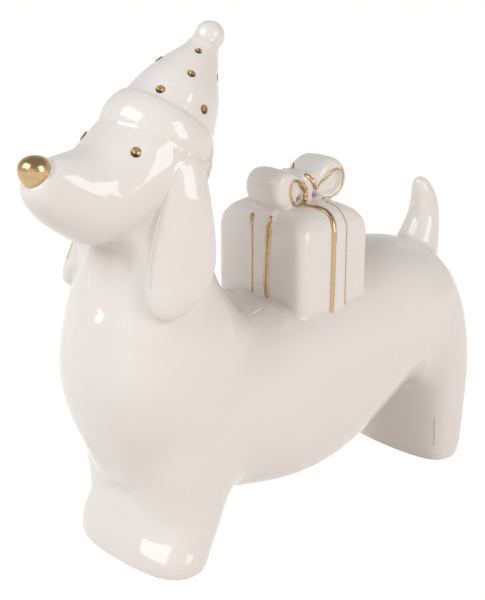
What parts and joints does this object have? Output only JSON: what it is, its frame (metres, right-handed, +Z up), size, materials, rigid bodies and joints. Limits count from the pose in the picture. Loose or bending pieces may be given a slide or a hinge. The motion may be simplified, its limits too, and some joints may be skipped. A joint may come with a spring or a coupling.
{
  "type": "porcelain dog figurine",
  "caption": "Glazed porcelain dachshund figurine in a party hat with a bow-tied gift box on its back, gilt nose, eyes and dots.",
  "frame": {"origin": "centre of the figure's footprint box, on the surface that it stands on", "axes": "+Z up, the dog looks along -Y, and its left side is +X"},
  "size_m": [0.056, 0.1836, 0.1693],
  "materials": {
    "porcelain": "white glazed porcelain, high gloss",
    "gold_lustre": "fired gold lustre, polished"
  },
  "bodies": {
    "root": {"body": "porcelain", "bow_knot": "porcelain", "bow_loop_back": "porcelain", "bow_loop_front": "porcelain", "ear_left": "porcelain", "ear_right": "porcelain", "eye_left": "gold_lustre", "eye_right": "gold_lustre", "gift_box": "porcelain", "hat_brim": "porcelain", "hat_cone": "porcelain", "hat_dot_01": "gold_lustre", "hat_dot_02": "gold_lustre", "hat_dot_03": "gold_lustre", "hat_dot_04": "gold_lustre", "hat_dot_05": "gold_lustre", "hat_dot_06": "gold_lustre", "hat_dot_07": "gold_lustre", "hat_dot_08": "gold_lustre", "hat_dot_09": "gold_lustre", "hat_dot_10": "gold_lustre", "hat_dot_11": "gold_lustre", "hat_dot_12": "gold_lustre", "head": "porcelain", "nose": "gold_lustre", "pompom": "porcelain", "ribbon_crosswise_left": "porcelain", "ribbon_crosswise_right": "porcelain", "ribbon_lengthwise": "porcelain", "tail": "porcelain"}
  },
  "joints": []
}
